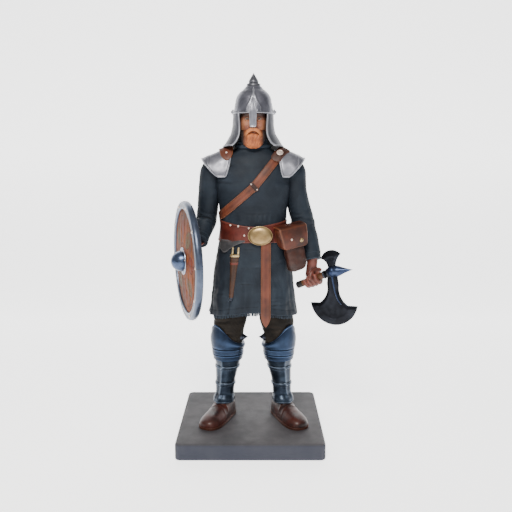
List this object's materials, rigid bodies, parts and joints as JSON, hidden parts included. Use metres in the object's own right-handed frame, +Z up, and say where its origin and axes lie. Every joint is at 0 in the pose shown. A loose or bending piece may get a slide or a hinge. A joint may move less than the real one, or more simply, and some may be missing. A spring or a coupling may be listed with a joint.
{
  "type": "viking warrior statue",
  "caption": "Life-size painted statue of a standing northern warrior in helmet and tunic on a square plinth, holding a round shield and a battle axe; a display figure.",
  "frame": {"origin": "centre of the plinth's underside, on the floor", "axes": "+Z up, -Y the way the figure faces, +X to the viewer's right as one faces the figure"},
  "size_m": [1.0247, 0.8104, 2.0053],
  "materials": {
    "plinth": "satin painted resin, worn slate grey",
    "figure": "hand-painted resin, dark blue-grey cloth",
    "shield": "painted resin in the look of varnished planks",
    "axe": "painted resin in the look of blued steel",
    "steel": "metallic paint in the look of polished steel",
    "leather": "painted resin in the look of oiled leather",
    "brass": "painted resin in the look of aged brass",
    "skin": "painted resin, weathered skin",
    "hair": "painted resin, red-brown beard"
  },
  "bodies": {
    "root": {"base": "plinth", "warrior": "figure", "round_shield": "shield", "battle_axe": "axe"}
  },
  "joints": []
}
